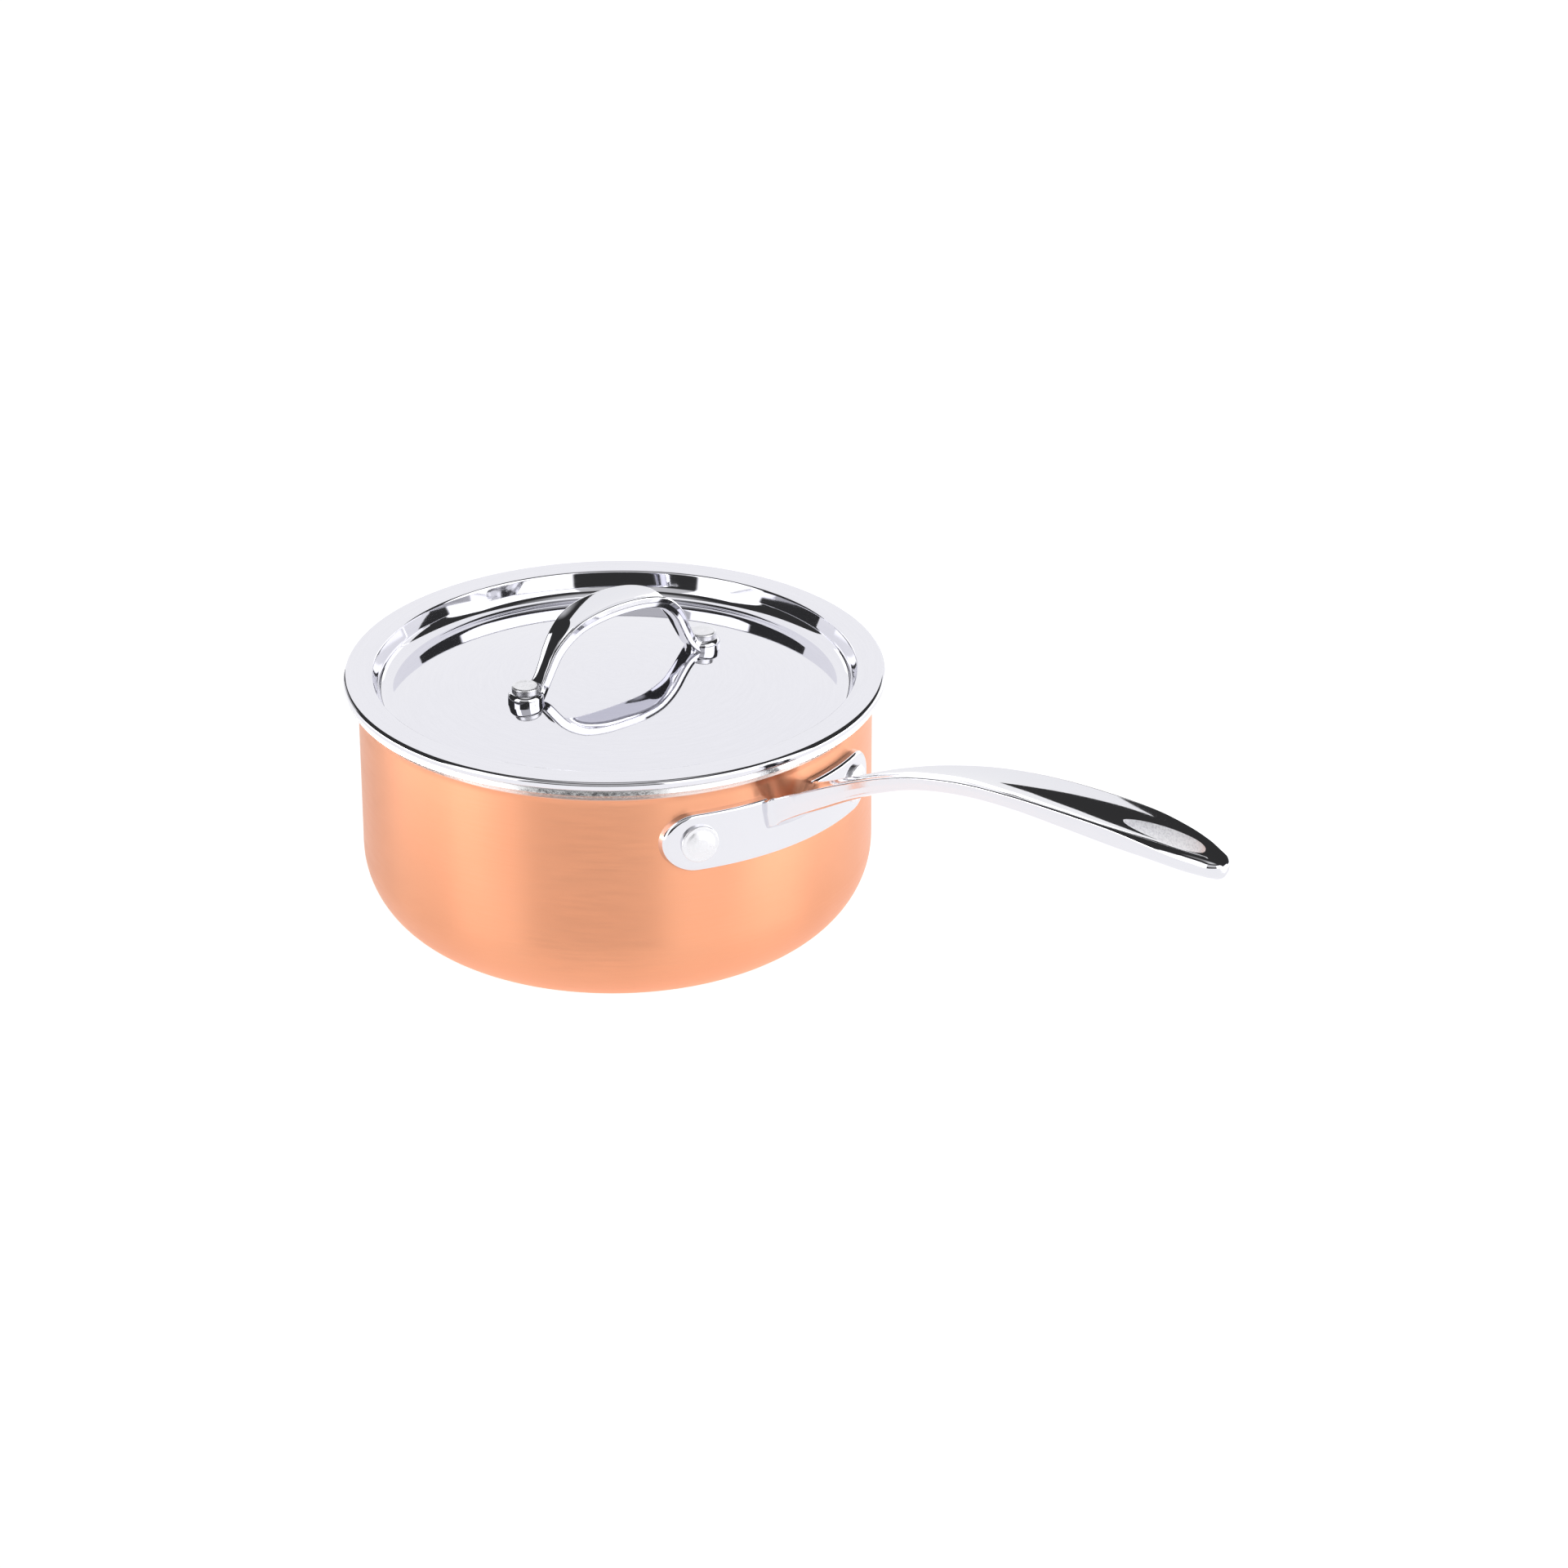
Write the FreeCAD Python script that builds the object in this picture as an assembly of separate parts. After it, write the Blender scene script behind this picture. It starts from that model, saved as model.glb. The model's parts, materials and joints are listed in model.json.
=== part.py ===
"""Saucepan of 18 cm with a lift-off lid: copper-clad pan, cast steel handles, steel lid.

Frame: millimetres, +Z up, origin at the centre of the underside of the base.
The long handle points along +X.  Each node is written to parts/NODE.step.
"""
import FreeCAD, Part
import math
import os

V = FreeCAD.Vector
ORIGIN = V(0, 0, 0)
UP = V(0, 0, 1)
OUTWARD = V(1, 0, 0)

# Pan: three bonded layers, measured from the outside in
wall_radius = 92.2          # outside of the straight wall; 90.0 inside, an 18 cm pan
copper_gauge = 0.5
core_gauge = 1.3
liner_gauge = 0.4
corner_radius = 30.5        # outside of the rounded foot of the wall
flare_start = 84.55         # height where the wall starts to flare out
flare_radius = 5.9          # outside of the flare, the hollow side
flare_angle = 75.0          # how far the lip turns out
copper_end_angle = 30.0     # the copper stops here and leaves a steel-coloured lip

# Lid: one pressed sheet with a hemmed edge and a sunk, slightly domed floor
lid_top = 95.9              # height of the flat border
lid_gauge = 1.0
lid_radius = 97.3
hem_height = 3.25           # the border's rolled edge, top to bottom
hem_width = 2.5
border_inner = 86.9         # the border ends and the sunk part begins
floor_radius = 84.4
floor_drop = 9.95           # floor edge below the border
floor_rise = 9.25           # centre of the floor above its edge
lid_turn = -4.0             # the lid lies turned this far from square to the handle

# Lid handle: a cast strap arch on two round lugs
lid_rivet_reach = 39.0
lug_radius = 6.5
lug_height = 4.6
arch_edge = 0.8             # rounding of the strap's edges
arch_stations = [           # reach, mid height over the border, half width, half depth, hollow
    (36.6, -1.9, 3.9, 1.45, 0.20),
    (34.0, -0.4, 3.6, 1.60, 0.35),
    (31.6, 3.2, 3.5, 1.75, 0.50),
    (29.4, 8.4, 3.7, 1.80, 0.60),
    (26.8, 13.6, 4.3, 1.90, 0.75),
    (23.0, 18.3, 5.3, 2.00, 0.90),
    (17.8, 22.2, 6.3, 2.10, 1.05),
    (9.8, 24.6, 7.1, 2.20, 1.15),
    (0.0, 25.3, 7.2, 2.25, 1.20),
]

# Long handle: a plate wrapped on the wall and a stem cast in one piece
plate_gauge = 3.0
plate_middle = 69.6         # height of the plate's centre line and of its rivets
plate_half_height = 10.9
plate_end_reach = 47.3      # half length of the whole plate
rivet_angle = 22.3
stem_stations = [           # reach, top height, width, depth of the side, hollow of the top, edge
    (93.6, 79.9, 24.6, 11.6, 8.4, 1.1),
    (96.6, 81.4, 24.2, 10.9, 7.8, 1.0),
    (97.7, 81.9, 20.8, 10.4, 7.2, 0.8),
    (99.6, 82.8, 18.9, 9.9, 6.3, 0.7),
    (104.0, 84.9, 16.4, 9.2, 4.6, 0.6),
    (114.0, 89.9, 13.9, 8.1, 2.4, 0.6),
    (128.0, 97.0, 12.4, 6.9, 1.3, 0.6),
    (145.0, 105.1, 13.2, 6.1, 1.1, 0.6),
    (165.0, 113.0, 15.2, 5.3, 1.2, 0.6),
    (190.0, 120.4, 18.6, 5.3, 1.4, 0.6),
    (215.0, 125.2, 21.4, 5.6, 1.5, 0.6),
    (240.0, 128.4, 22.4, 6.6, 1.5, 0.7),
    (262.0, 130.3, 21.8, 7.2, 1.5, 0.9),
    (278.0, 130.9, 19.8, 7.1, 1.3, 1.3),
    (289.0, 130.8, 16.6, 7.1, 0.9, 1.7),
    (296.5, 130.5, 12.4, 6.9, 0.55, 2.0),
    (299.5, 130.1, 10.5, 6.3, 0.3, 2.0),
    (301.4, 129.5, 7.3, 5.0, 0.15, 1.7),
    (302.3, 128.8, 4.4, 3.4, 0.05, 1.1),
    (302.6, 128.0, 2.0, 1.8, 0.05, 0.5),
]
slot_stations = [           # reach, half width
    (257.6, 1.3),
    (263.0, 3.1),
    (271.0, 4.4),
    (280.0, 4.6),
    (287.5, 3.9),
    (292.2, 2.2),
]
slot_end_bulge = 1.2

# Rivets
pan_shank_radius = 3.0
pan_head_radius = 6.8
pan_head_height = 2.4
inside_head_radius = 6.0
inside_head_height = 1.8
lid_shank_radius = 2.5
lid_head_radius = 5.0
lid_head_height = 2.4
lid_tail_radius = 4.2
lid_tail_height = 1.2

wall_gauge = copper_gauge + core_gauge + liner_gauge
inner_radius = wall_radius - wall_gauge
plate_radius = wall_radius + plate_gauge
floor_edge = lid_top - floor_drop
dome_radius = (floor_radius ** 2 + floor_rise ** 2) / (2 * floor_rise)
dome_centre = floor_edge + floor_rise - dome_radius
WELL_OUTSIDE = 40.0         # a length that takes a cutting tool clear of the part


def flat(radius, height):
    """Point of a turned profile, in the plane y = 0."""
    return V(radius, 0, height)


def line(start, end):
    return Part.LineSegment(start, end).toShape()


def arc(start, middle, end):
    return Part.Arc(start, middle, end).toShape()


def turned(edges):
    """Solid of revolution about Z from a closed run of profile edges."""
    return Part.Face(Part.Wire(edges)).revolve(ORIGIN, UP, 360)


def round_ring(shape, radius, height, size):
    """Round the circular edge of a turned solid that has this radius and height."""
    picked = []
    for edge in shape.Edges:
        ends = [vertex.Point for vertex in edge.Vertexes]
        if edge.Length < radius:
            continue
        if all(abs(math.hypot(p.x, p.y) - radius) + abs(p.z - height) < 1e-3 for p in ends):
            picked.append(edge)
    return shape.makeFillet(size, picked)


def cylinder(radius, height, base, direction):
    return Part.makeCylinder(radius, height, base, direction)


# ---------------------------------------------------------------- pan layers

def wall_line(depth, end_angle):
    """Edges of the pan's profile at a depth under its outside, from the axis to the lip."""
    corner = corner_radius - depth
    corner_centre = flat(wall_radius - corner_radius, corner_radius)
    flare = flare_radius + depth
    flare_centre = flat(wall_radius + flare_radius, flare_start)

    def corner_point(degrees):
        turn = math.radians(degrees)
        return corner_centre + V(corner * math.sin(turn), 0, -corner * math.cos(turn))

    def flare_point(degrees):
        turn = math.radians(degrees)
        return flare_centre + V(-flare * math.cos(turn), 0, flare * math.sin(turn))

    return [
        line(flat(0, depth), corner_point(0)),
        arc(corner_point(0), corner_point(45), corner_point(90)),
        line(corner_point(90), flare_point(0)),
        arc(flare_point(0), flare_point(end_angle / 2), flare_point(end_angle)),
    ]


def layer(outer_depth, gauge, end_angle):
    """One bonded layer of the pan."""
    outside = wall_line(outer_depth, end_angle)
    inside = wall_line(outer_depth + gauge, end_angle)
    lip = line(outside[-1].lastVertex().Point, inside[-1].lastVertex().Point)
    axis = line(inside[0].firstVertex().Point, outside[0].firstVertex().Point)
    return turned(outside + [lip] + inside[::-1] + [axis])


def pan_rivet_axis(side):
    turn = math.radians(side * rivet_angle)
    return V(math.cos(turn), math.sin(turn), 0)


def drill_for_rivets(shape):
    """Cut the two rivet holes of the long handle."""
    for side in (-1, 1):
        axis = pan_rivet_axis(side)
        start = axis * (inner_radius - WELL_OUTSIDE / 2) + UP * plate_middle
        shape = shape.cut(cylinder(pan_shank_radius, WELL_OUTSIDE, start, axis))
    return shape


# ---------------------------------------------------------------- straps

def strap_section(middle, across, up, half_width, top, bottom, edge, taper, hollow, belly):
    """Closed section of a cast strap: hollow top, rounded edges, curved underside."""
    def at(sideways, height):
        return middle + across * sideways + up * height

    low_half = half_width - taper
    bite = edge * (1 - math.sqrt(0.5))
    crown = half_width - edge
    sole = low_half - edge
    edges = [arc(at(-crown, top), at(0, top - hollow), at(crown, top))]
    edges.append(arc(at(crown, top), at(half_width - bite, top - bite), at(half_width, top - edge)))
    edges.append(line(at(half_width, top - edge), at(low_half, bottom + edge)))
    edges.append(arc(at(low_half, bottom + edge), at(low_half - bite, bottom + bite), at(sole, bottom)))
    edges.append(arc(at(sole, bottom), at(0, bottom + belly), at(-sole, bottom)))
    edges.append(arc(at(-sole, bottom), at(bite - low_half, bottom + bite), at(-low_half, bottom + edge)))
    edges.append(line(at(-low_half, bottom + edge), at(-half_width, top - edge)))
    edges.append(arc(at(-half_width, top - edge), at(bite - half_width, top - bite), at(-crown, top)))
    return Part.Wire(edges)


# ---------------------------------------------------------------- long handle

def plate():
    """Round-ended plate wrapped on the wall."""
    low = plate_middle - plate_half_height
    high = plate_middle + plate_half_height
    straight = plate_end_reach - plate_half_height

    def at(sideways, height):
        return V(0, sideways, height)

    outline = Part.Wire([
        line(at(-straight, high), at(straight, high)),
        arc(at(straight, high), at(plate_end_reach, plate_middle), at(straight, low)),
        line(at(straight, low), at(-straight, low)),
        arc(at(-straight, low), at(-plate_end_reach, plate_middle), at(-straight, high)),
    ])
    prism = Part.Face(outline).extrude(OUTWARD * (plate_radius + WELL_OUTSIDE))
    tube = cylinder(plate_radius, lid_top, ORIGIN, UP)
    tube = tube.cut(cylinder(wall_radius, lid_top, ORIGIN, UP))
    blank = prism.common(tube)
    outer_edges = []
    for edge in blank.Edges:
        radii = [math.hypot(v.Point.x, v.Point.y) for v in edge.Vertexes]
        middle = edge.valueAt((edge.FirstParameter + edge.LastParameter) / 2)
        radii.append(math.hypot(middle.x, middle.y))
        if min(radii) > plate_radius - 1e-3:
            outer_edges.append(edge)
    return blank.makeFillet(plate_gauge * 0.4, outer_edges)


def stem():
    """Stem with a hollow top, from inside the plate to the rounded tip."""
    sections = []
    for reach, top, width, depth, hollow, edge in stem_stations:
        middle = V(reach, 0, top)
        sections.append(strap_section(middle, V(0, 1, 0), UP, width / 2, 0, -depth, edge,
                                      min(1.0, width * 0.08), hollow, -0.9))
    return Part.makeLoft(sections, True, False)


def root_trough():
    """What the plate loses where the stem's hollow runs on through it to the wall."""
    reach, top, width, depth, hollow, edge = stem_stations[0]
    half = width / 2 - edge
    tall = top + WELL_OUTSIDE
    ends = [V(inner_radius, -half, top), V(inner_radius, half, top)]
    corners = [V(inner_radius, half, tall), V(inner_radius, -half, tall)]
    outline = Part.Wire([
        arc(ends[0], V(inner_radius, 0, top - hollow), ends[1]),
        line(ends[1], corners[0]),
        line(corners[0], corners[1]),
        line(corners[1], ends[0]),
    ])
    return Part.Face(outline).extrude(OUTWARD * WELL_OUTSIDE)


def hanging_slot():
    """Drop-shaped hole through the stem, sharper towards the pan."""
    sides = []
    for side in (1, -1):
        curve = Part.BSplineCurve()
        curve.interpolate([V(reach, side * half, 0) for reach, half in slot_stations])
        sides.append(curve.toShape())
    ends = []
    for (reach, half), bulge in ((slot_stations[0], -slot_end_bulge), (slot_stations[-1], slot_end_bulge)):
        ends.append(arc(V(reach, half, 0), V(reach + bulge, 0, 0), V(reach, -half, 0)))
    outline = Part.Wire([sides[0], ends[1], sides[1], ends[0]])
    return Part.Face(outline).extrude(UP * 2 * lid_top)


def long_handle():
    body = plate().cut(root_trough())
    body = body.fuse(stem())
    body = body.cut(cylinder(wall_radius, 2 * lid_top, ORIGIN, UP))
    body = body.cut(hanging_slot())
    return drill_for_rivets(body)


# ---------------------------------------------------------------- rivets

def pan_rivet(side):
    """Rivet through the plate and the wall, with a ringed head outside and a low one inside."""
    step = pan_head_radius * 0.78
    ring = pan_head_height * 0.58
    rise = pan_head_height - ring
    ball_radius = (step ** 2 + rise ** 2) / (2 * rise)
    halfway = pan_head_height - ball_radius + math.sqrt(ball_radius ** 2 - (step / 2) ** 2)
    base = -plate_gauge
    profile = [
        line(flat(0, base), flat(pan_head_radius, base)),
        line(flat(pan_head_radius, base), flat(pan_head_radius, ring - 0.5)),
        arc(flat(pan_head_radius, ring - 0.5), flat(pan_head_radius - 0.15, ring - 0.15),
            flat(pan_head_radius - 0.5, ring)),
        line(flat(pan_head_radius - 0.5, ring), flat(step, ring)),
        arc(flat(step, ring), flat(step / 2, halfway), flat(0, pan_head_height)),
        line(flat(0, pan_head_height), flat(0, base)),
    ]
    outside = turned(profile)
    outside.rotate(ORIGIN, V(0, 1, 0), 90)
    outside.translate(V(plate_radius, 0, plate_middle))
    outside = outside.cut(cylinder(plate_radius, lid_top, ORIGIN, UP))

    dish = (inside_head_radius ** 2 + inside_head_height ** 2) / (2 * inside_head_height)
    ball = Part.makeSphere(dish, V(inner_radius - inside_head_height + dish, 0, plate_middle))
    inside = ball.common(cylinder(inner_radius, lid_top, ORIGIN, UP))
    shank_start = inner_radius - inside_head_height / 2
    shank_length = plate_radius + ring / 2 - shank_start
    shank = cylinder(pan_shank_radius, shank_length, V(shank_start, 0, plate_middle), OUTWARD)
    rivet = outside.fuse([shank, inside])
    rivet.rotate(ORIGIN, UP, side * rivet_angle)
    return rivet


def lid_rivet(side):
    """Rivet through a lug and the lid, with a drum head above and a low one below."""
    seat = lug_seat() + lug_height
    top = seat + lid_head_height
    under = lug_seat() - 2.0 * lid_gauge
    head = cylinder(lid_head_radius, lid_head_height, V(lid_rivet_reach, 0, seat), UP)
    head = round_off(head, top, 0.7)
    shank = cylinder(lid_shank_radius, top - 0.5 - under, V(lid_rivet_reach, 0, under), UP)
    tail_low = under - lid_tail_height
    tail = cylinder(lid_tail_radius, WELL_OUTSIDE / 4, V(lid_rivet_reach, 0, tail_low), UP)
    tail = round_off(tail, tail_low, 0.6)
    tail = tail.cut(above_lid_underside())
    rivet = head.fuse([shank, tail])
    rivet.rotate(ORIGIN, UP, 90 * side + lid_turn)
    return rivet


def round_off(shape, height, size):
    """Round the circular edges of a drum at this height."""
    picked = [edge for edge in shape.Edges
              if all(abs(vertex.Point.z - height) < 1e-3 for vertex in edge.Vertexes)]
    return shape.makeFillet(size, picked)


# ---------------------------------------------------------------- lid

def dome_height(radius):
    """Height of the lid floor's top face at a radius."""
    return dome_centre + math.sqrt(dome_radius ** 2 - radius ** 2)


def lug_seat():
    """Lowest height of a lug's foot on the domed floor."""
    return dome_height(lid_rivet_reach + lug_radius)


def above_lid_underside():
    """Everything above the underside of the lid's domed floor."""
    ball = Part.makeSphere(dome_radius - lid_gauge, V(0, 0, dome_centre))
    block = cylinder(floor_radius, WELL_OUTSIDE, V(0, 0, floor_edge - WELL_OUTSIDE / 2), UP)
    return block.cut(ball)


def lid_disc():
    """Pressed steel lid: domed floor, sloping wall, flat border and hemmed edge."""
    under_top = lid_top - lid_gauge
    hem_low = lid_top - hem_height
    hem_inner = lid_radius - hem_width
    wide = lid_top - hem_height * 0.45
    under_dome = dome_radius - lid_gauge

    def dome(radius, sphere):
        return flat(radius, dome_centre + math.sqrt(sphere ** 2 - radius ** 2))

    floor_end = dome(floor_radius, dome_radius)
    under_end = dome(floor_radius + 0.6, under_dome)
    half = floor_radius / 2
    profile = [
        arc(dome(0, dome_radius), dome(half, dome_radius), floor_end),
        line(floor_end, flat(border_inner, lid_top)),
        line(flat(border_inner, lid_top), flat(lid_radius - 1.2, lid_top)),
        arc(flat(lid_radius - 1.2, lid_top), flat(lid_radius - 0.3, lid_top - 0.45),
            flat(lid_radius, wide)),
        arc(flat(lid_radius, wide), flat(lid_radius - 0.4, hem_low + 0.5),
            flat(lid_radius - 1.3, hem_low)),
        line(flat(lid_radius - 1.3, hem_low), flat(hem_inner, hem_low)),
        line(flat(hem_inner, hem_low), flat(hem_inner, under_top)),
        line(flat(hem_inner, under_top), flat(border_inner + 0.7, under_top)),
        line(flat(border_inner + 0.7, under_top), under_end),
        arc(under_end, dome(half, under_dome), dome(0, under_dome)),
        line(dome(0, under_dome), dome(0, dome_radius)),
    ]
    disc = turned(profile)
    disc = round_ring(disc, floor_radius, floor_end.z, 1.6)
    disc = round_ring(disc, border_inner, lid_top, 1.0)
    for side in (-1, 1):
        turn = math.radians(90 * side + lid_turn)
        foot = V(lid_rivet_reach * math.cos(turn), lid_rivet_reach * math.sin(turn), 0)
        disc = disc.cut(cylinder(lid_shank_radius, 2 * lid_top, foot, UP))
    return disc


def lid_handle():
    """Strap arch with two lugs, made square to the long handle and turned with the lid."""
    stations = list(arch_stations)
    for reach, *rest in arch_stations[-2::-1]:
        stations.append((-reach, *rest))
    sections = []
    for index, (reach, height, half, depth, hollow) in enumerate(stations):
        before = stations[max(index - 1, 0)]
        after = stations[min(index + 1, len(stations) - 1)]
        along = V(after[0] - before[0], 0, after[1] - before[1]).normalize()
        outward = V(along.z, 0, -along.x)
        middle = V(reach, 0, lid_top + height)
        sections.append(strap_section(middle, V(0, 1, 0), outward, half, depth, -depth,
                                      arch_edge, 0.0, hollow, hollow * 0.7))
    body = Part.makeLoft(sections, True, False)
    for side in (-1, 1):
        foot = V(side * lid_rivet_reach, 0, lug_seat() - lid_gauge)
        lug = cylinder(lug_radius, lug_height + lid_gauge, foot, UP)
        body = body.fuse(round_off(lug, lug_seat() + lug_height, 1.3))
    body = body.cut(Part.makeSphere(dome_radius, V(0, 0, dome_centre)))
    for side in (-1, 1):
        foot = V(side * lid_rivet_reach, 0, 0)
        body = body.cut(cylinder(lid_shank_radius, 2 * lid_top, foot, UP))
        seat = V(side * lid_rivet_reach, 0, lug_seat() + lug_height)
        body = body.cut(cylinder(lid_head_radius + 0.3, WELL_OUTSIDE, seat, UP))
    body.rotate(ORIGIN, UP, 90 + lid_turn)
    return body


# ---------------------------------------------------------------- write the parts

core_depth = copper_gauge
liner_depth = copper_gauge + core_gauge

nodes = {
    "copper_skin": drill_for_rivets(layer(0.0, copper_gauge, copper_end_angle)),
    "aluminium_core": drill_for_rivets(layer(core_depth, core_gauge, flare_angle)),
    "steel_liner": drill_for_rivets(layer(liner_depth, liner_gauge, flare_angle)),
    "long_handle": long_handle(),
    "handle_rivet_left": pan_rivet(-1),
    "handle_rivet_right": pan_rivet(1),
    "lid_disc": lid_disc(),
    "lid_handle": lid_handle(),
    "lid_rivet_near": lid_rivet(-1),
    "lid_rivet_far": lid_rivet(1),
}

os.makedirs("parts", exist_ok=True)
for name, shape in nodes.items():
    box = shape.BoundBox
    print(name, shape.isValid(), len(shape.Solids), round(shape.Volume), [round(n, 1) for n in (
        box.XMin, box.YMin, box.ZMin, box.XMax, box.YMax, box.ZMax)])
    shape.exportStep("parts/" + name + ".step")
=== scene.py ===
"""Looks for the saucepan with a lift-off lid: brushed copper, polished cast handles, mirror lid.

The CAD part's own frame: origin at the centre of the base, +Z up, long handle along +X.
Shape tables are in millimetres and become metres where a mesh is made.
"""
import json
import math
import bmesh
import bpy
from mathutils import Matrix, Vector

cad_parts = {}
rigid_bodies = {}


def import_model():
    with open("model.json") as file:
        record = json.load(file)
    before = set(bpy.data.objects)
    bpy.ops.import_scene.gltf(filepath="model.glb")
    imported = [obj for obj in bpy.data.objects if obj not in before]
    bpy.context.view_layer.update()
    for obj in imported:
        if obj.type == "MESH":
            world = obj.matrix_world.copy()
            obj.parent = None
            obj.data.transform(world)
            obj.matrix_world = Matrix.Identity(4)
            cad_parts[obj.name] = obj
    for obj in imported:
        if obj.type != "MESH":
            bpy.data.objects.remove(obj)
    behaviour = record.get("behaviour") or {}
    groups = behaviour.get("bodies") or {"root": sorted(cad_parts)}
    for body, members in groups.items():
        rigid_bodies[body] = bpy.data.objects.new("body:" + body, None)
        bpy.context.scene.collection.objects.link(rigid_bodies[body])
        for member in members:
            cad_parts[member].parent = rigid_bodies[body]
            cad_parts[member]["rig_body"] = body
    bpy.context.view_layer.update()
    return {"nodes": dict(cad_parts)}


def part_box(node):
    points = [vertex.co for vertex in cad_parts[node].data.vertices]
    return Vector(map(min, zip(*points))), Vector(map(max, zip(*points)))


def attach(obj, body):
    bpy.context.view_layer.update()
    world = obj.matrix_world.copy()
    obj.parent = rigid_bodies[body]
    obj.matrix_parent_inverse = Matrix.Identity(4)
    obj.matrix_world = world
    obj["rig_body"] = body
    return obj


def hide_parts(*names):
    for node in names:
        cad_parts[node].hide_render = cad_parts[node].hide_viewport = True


MM = 0.001

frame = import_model()


# ---------------------------------------------------------------- camera

CAMERA_DISTANCE = 1904.6 * MM       # from the middle of the lid's border
CAMERA_HEIGHT = 24.36               # degrees above the table
CAMERA_TURN = 50.5                  # degrees from square-on to the long handle
CAMERA_LENS = 121.875
CAMERA_AIM = (-0.943, -1.802, 1.299)    # roll, swing right and tilt up of the aim, degrees


def turn_matrix(degrees, axis):
    return Matrix.Rotation(math.radians(degrees), 3, axis)


def add_camera():
    """A long lens that looks down at the lid, aimed a little to its right."""
    target = Vector((0, 0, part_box("lid_disc")[1][2]))
    height = math.radians(CAMERA_HEIGHT)
    back = Vector((0, -math.cos(height), math.sin(height)))
    right = Vector((1, 0, 0))
    down = back.cross(right) * -1
    roll, swing, tilt = CAMERA_AIM
    look = Matrix((right, down, -back))
    look = turn_matrix(roll, "Z") @ turn_matrix(tilt, "X") @ turn_matrix(swing, "Y") @ look
    around = turn_matrix(CAMERA_TURN, "Z")
    axes = Matrix((look[0], -look[1], -look[2])).transposed()
    data = bpy.data.cameras.new("camera")
    data.lens = CAMERA_LENS
    data.sensor_width = 36.0
    camera = bpy.data.objects.new("camera", data)
    place = (around @ axes).to_4x4()
    place.translation = target + around @ (back * CAMERA_DISTANCE)
    camera.matrix_world = place
    bpy.context.collection.objects.link(camera)
    bpy.context.scene.camera = camera


# ---------------------------------------------------------------- node wiring

class Graph:
    """Short-hand for adding and linking nodes in one node tree."""

    def __init__(self, owner):
        owner.use_nodes = True
        self.tree = owner.node_tree

    def add(self, kind, inputs=None, **settings):
        node = self.tree.nodes.new(kind)
        for name, value in settings.items():
            setattr(node, name, value)
        for key, value in (inputs or {}).items():
            self.feed(node.inputs[key], value)
        return node

    def feed(self, socket, value):
        if isinstance(value, bpy.types.NodeSocket):
            self.tree.links.new(value, socket)
        else:
            socket.default_value = value

    def math(self, operation, *values):
        node = self.add("ShaderNodeMath", operation=operation)
        for socket, value in zip(node.inputs, values):
            self.feed(socket, value)
        return node.outputs[0]

    def ramp(self, value, low, high, start=0.0, end=1.0):
        """start where value is at or under low, end where it is at or over high, smooth between."""
        node = self.add("ShaderNodeMapRange", interpolation_type="SMOOTHSTEP")
        for socket, number in zip(node.inputs, (value, low, high, start, end)):
            self.feed(socket, number)
        return node.outputs[0]

    def window(self, value, low, high, soft):
        """1 between low and high, fading to 0 over soft outside them."""
        rise = self.ramp(value, low - soft, low)
        fall = self.ramp(value, high, high + soft, 1.0, 0.0)
        return self.math("MULTIPLY", rise, fall)

    def noise(self, vector, scale, detail=2.0, roughness=0.5):
        node = self.add("ShaderNodeTexNoise", {"Vector": vector, "Scale": scale, "Detail": detail,
                                               "Roughness": roughness})
        return node.outputs[0]

    def blend(self, share, first, second):
        node = self.add("ShaderNodeMix", data_type="RGBA")
        colours = [socket for socket in node.inputs if socket.type == "RGBA"]
        self.feed(node.inputs[0], share)
        self.feed(colours[0], first)
        self.feed(colours[1], second)
        return [socket for socket in node.outputs if socket.type == "RGBA"][0]

    def place(self):
        """The point on the piece, in metres, in the CAD frame."""
        return self.add("ShaderNodeTexCoord").outputs["Object"]

    def parts(self, vector):
        return self.add("ShaderNodeSeparateXYZ", {"Vector": vector}).outputs

    def join(self, x, y, z):
        return self.add("ShaderNodeCombineXYZ", {"X": x, "Y": y, "Z": z}).outputs[0]

    def bump(self, height, distance, strength):
        node = self.add("ShaderNodeBump", {"Height": height, "Distance": distance, "Strength": strength})
        return node.outputs[0]

    def reach(self, x, y):
        """Distance from the Z axis."""
        squares = self.math("ADD", self.math("MULTIPLY", x, x), self.math("MULTIPLY", y, y))
        return self.math("SQRT", squares)

    def turned(self, vector):
        """The vector turned about Z so that the camera stands on the -Y side."""
        node = self.add("ShaderNodeVectorRotate", {"Vector": vector, "Angle": -math.radians(CAMERA_TURN)},
                        rotation_type="Z_AXIS")
        return node.outputs[0]

    def azimuth(self, x, y):
        """Degrees to the right of the -Y direction."""
        return self.math("DEGREES", self.math("ARCTAN2", x, self.math("MULTIPLY", y, -1.0)))


def rgb(red, green, blue):
    return (red, green, blue, 1.0)


# ---------------------------------------------------------------- light

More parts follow.
